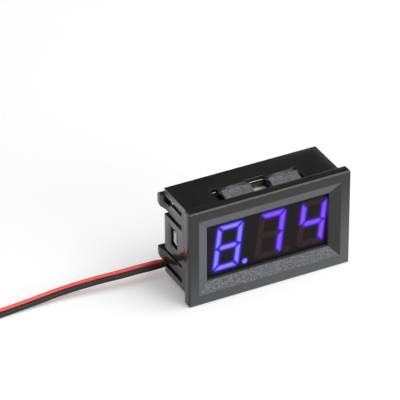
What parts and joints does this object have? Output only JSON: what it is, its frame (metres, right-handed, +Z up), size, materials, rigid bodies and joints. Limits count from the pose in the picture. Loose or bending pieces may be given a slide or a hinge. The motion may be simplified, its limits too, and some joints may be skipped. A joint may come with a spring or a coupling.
{
  "type": "digital panel meter",
  "caption": "Small rectangular LED panel meter with a bevelled front flange, snap arms at both sides and two thin connecting wires.",
  "frame": {"origin": "bottom centre of the meter without its wires, on the lower edge of the front flange", "axes": "+X to the right seen from the front, +Y back into the panel, +Z up; the display faces -Y"},
  "size_m": [0.1128, 0.0389, 0.029],
  "materials": {
    "black_abs": "moulded black ABS with a soft gloss",
    "film": "dark tinted film",
    "shell": "off-white display shell, printed dark grey in front",
    "resin": "cloudy casting resin",
    "laminate": "green solder mask on glass-fibre board",
    "die": "light-emitting chip",
    "tin": "bright tin",
    "chip_moulding": "black moulding compound",
    "tantalum": "ochre moulding",
    "resistor_glaze": "dark glaze with tinned ends",
    "ceramic": "beige ceramic with tinned ends",
    "trimmer_body": "white ceramic",
    "rotor_metal": "plated rotor",
    "red_pvc": "red PVC insulation",
    "black_pvc": "black PVC insulation"
  },
  "bodies": {
    "meter": {"housing": "black_abs", "display_film": "film", "display_shell": "shell", "display_epoxy": "resin", "led_board": "laminate", "led_chips": "die", "display_pins": "tin", "circuit_board": "laminate", "controller_chip": "chip_moulding", "controller_leads": "tin", "regulator_body": "chip_moulding", "regulator_leads": "tin", "diode_body": "chip_moulding", "diode_terminals": "tin", "filter_capacitor": "tantalum", "filter_terminals": "tin", "resistors": "resistor_glaze", "ceramic_capacitors": "ceramic", "trimmer_base": "trimmer_body", "trimmer_terminals": "tin", "pin_solder": "tin", "wire_solder": "tin", "red_wire": "red_pvc", "black_wire": "black_pvc", "red_wire_coil": "red_pvc", "black_wire_coil": "black_pvc", "red_wire_tip": "tin", "black_wire_tip": "tin"},
    "rotor": {"trimmer_rotor": "rotor_metal"}
  },
  "joints": [
    {"name": "trimmer_turn", "type": "hinge", "parent": "meter", "child": "rotor", "pos_m": [0.014, 0.003, 0.0145], "axis": [0, 1, 0], "range_deg": [-130, 130]}
  ]
}
